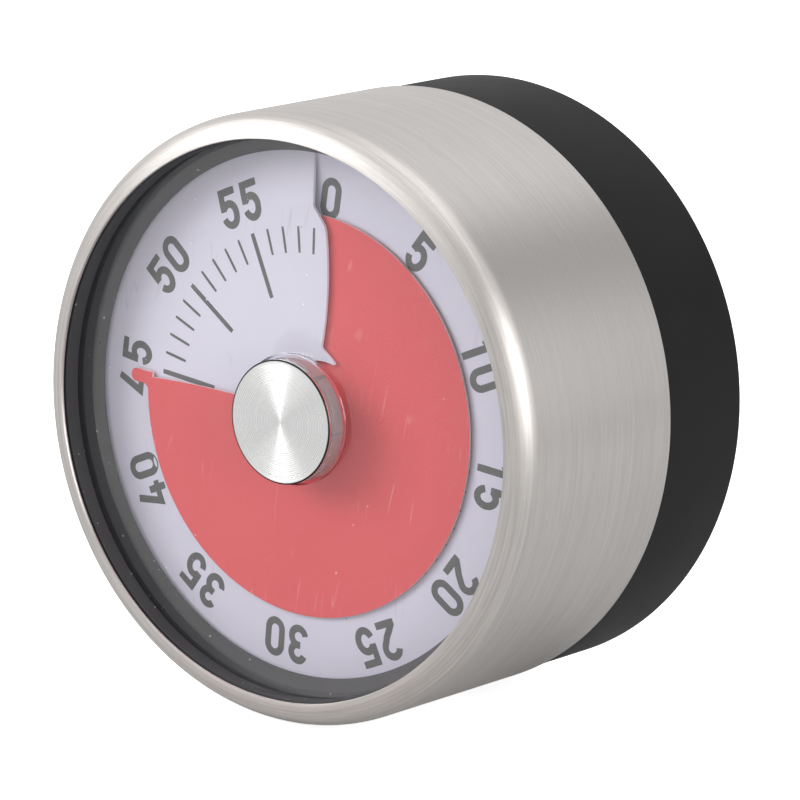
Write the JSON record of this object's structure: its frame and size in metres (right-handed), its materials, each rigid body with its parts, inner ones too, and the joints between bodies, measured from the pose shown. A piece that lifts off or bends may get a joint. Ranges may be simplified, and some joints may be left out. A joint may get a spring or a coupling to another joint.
{
  "type": "kitchen timer",
  "caption": "Round mechanical kitchen timer with a steel sleeve, clear front, slit dial with a red time disc and a centre knob.",
  "frame": {"origin": "centre of the flat back of the rear cover", "axes": "+Y out of the back along the knob's axis, so the dial faces -Y; +Z towards the dial's 0 mark; +X to the reader's right"},
  "size_m": [0.079, 0.0468, 0.079],
  "materials": {
    "brushed_sleeve": "brushed round the case",
    "dark_ring": "satin moulded",
    "clear_lens": "clear moulded plastic with fine scratches",
    "grey_ring": "satin moulded",
    "black_moulding": "moulded",
    "rear_black": "fine matte texture",
    "dial_white": "printed satin sheet",
    "disc_red": "satin sheet",
    "clear_knob": "clear moulded plastic",
    "spun_cap": "spun with fine rings",
    "gong_steel": "plated",
    "screw_zinc": "zinc plated",
    "magnet_nickel": "nickel plated",
    "movement_brass": "stamped brass",
    "movement_steel": "turned steel"
  },
  "bodies": {
    "root": {"front_sleeve": "brushed_sleeve", "bezel_ring": "dark_ring", "lens": "clear_lens", "dial_ring": "grey_ring", "movement_housing": "black_moulding", "rear_cover": "rear_black", "case_screw_1": "screw_zinc", "case_screw_2": "screw_zinc", "case_screw_3": "screw_zinc", "magnet_1": "magnet_nickel", "magnet_2": "magnet_nickel", "magnet_3": "magnet_nickel", "dial_face": "dial_white", "front_plate": "movement_brass", "back_plate": "movement_brass", "pillar_1": "movement_steel", "pillar_2": "movement_steel", "pillar_3": "movement_steel", "plate_screw_1": "movement_steel", "plate_screw_2": "movement_steel", "plate_screw_3": "movement_steel", "movement_screw_1": "movement_steel", "movement_screw_2": "movement_steel", "movement_screw_3": "movement_steel", "mainspring": "movement_steel", "spring_post": "movement_steel", "trip_stud": "movement_steel", "gong": "gong_steel", "gong_post": "movement_steel", "gong_nut": "movement_brass", "hammer_spring": "movement_steel"},
    "knob": {"knob_body": "clear_knob", "knob_cap": "spun_cap", "main_arbor": "movement_steel", "main_wheel": "movement_brass", "clutch_spring": "movement_steel", "trip_cam": "movement_brass"},
    "red_disc": {"red_disc": "disc_red"},
    "second_wheel": {"second_arbor": "movement_steel", "second_wheel": "movement_brass"},
    "third_wheel": {"third_arbor": "movement_steel", "third_wheel": "movement_brass"},
    "escape_wheel": {"escape_arbor": "movement_steel", "escape_wheel": "movement_brass"},
    "pallet": {"pallet_arbor": "movement_steel", "pallet_lever": "movement_steel", "pallet_pin_1": "movement_steel", "pallet_pin_2": "movement_steel"},
    "hammer": {"hammer_arbor": "movement_steel", "hammer_arm": "movement_steel", "hammer_head": "movement_brass"},
    "trip_lever": {"trip_lever": "movement_steel"}
  },
  "joints": [
    {"name": "knob_turn", "type": "hinge", "parent": "root", "child": "knob", "pos_m": [0, 0, 0], "axis": [0, 1, 0], "range_deg": [-270, 90]},
    {"name": "red_disc_slide", "type": "slide", "parent": "knob", "child": "red_disc", "axis": [0, -1, 0], "range_m": [-0.001, 0.00035]},
    {"name": "second_wheel_turn", "type": "hinge", "parent": "root", "child": "second_wheel", "pos_m": [-0.00875, 0, -0.01516], "axis": [0, 1, 0], "range_deg": [-545, 1625]},
    {"name": "third_wheel_turn", "type": "hinge", "parent": "root", "child": "third_wheel", "pos_m": [-0.01727, 0, -0.00281], "axis": [0, 1, 0], "range_deg": [-8110, 2710]},
    {"name": "escape_wheel_turn", "type": "hinge", "parent": "root", "child": "escape_wheel", "pos_m": [-0.01875, 0, 0.00829], "axis": [0, 1, 0], "range_deg": [-16210, 48610]},
    {"name": "pallet_swing", "type": "hinge", "parent": "root", "child": "pallet", "pos_m": [-0.01419, 0, 0.01548], "axis": [0, 1, 0], "range_deg": [-6, 6]},
    {"name": "hammer_swing", "type": "hinge", "parent": "root", "child": "hammer", "pos_m": [0.01732, 0, 0.01], "axis": [0, 1, 0], "range_deg": [-3, 6], "stiffness_Nm_per_rad": 0.002},
    {"name": "trip_lever_swing", "type": "hinge", "parent": "root", "child": "trip_lever", "pos_m": [0.01645, 0, -0.0095], "axis": [0, 1, 0], "range_deg": [0, 5], "stiffness_Nm_per_rad": 0.002}
  ],
  "couplings": [
    {"joint": "red_disc_slide", "follows": "knob_turn", "m_per_rad": 0.0002069},
    {"joint": "second_wheel_turn", "follows": "knob_turn", "ratio": -6},
    {"joint": "third_wheel_turn", "follows": "knob_turn", "ratio": 30},
    {"joint": "escape_wheel_turn", "follows": "knob_turn", "ratio": -180}
  ]
}
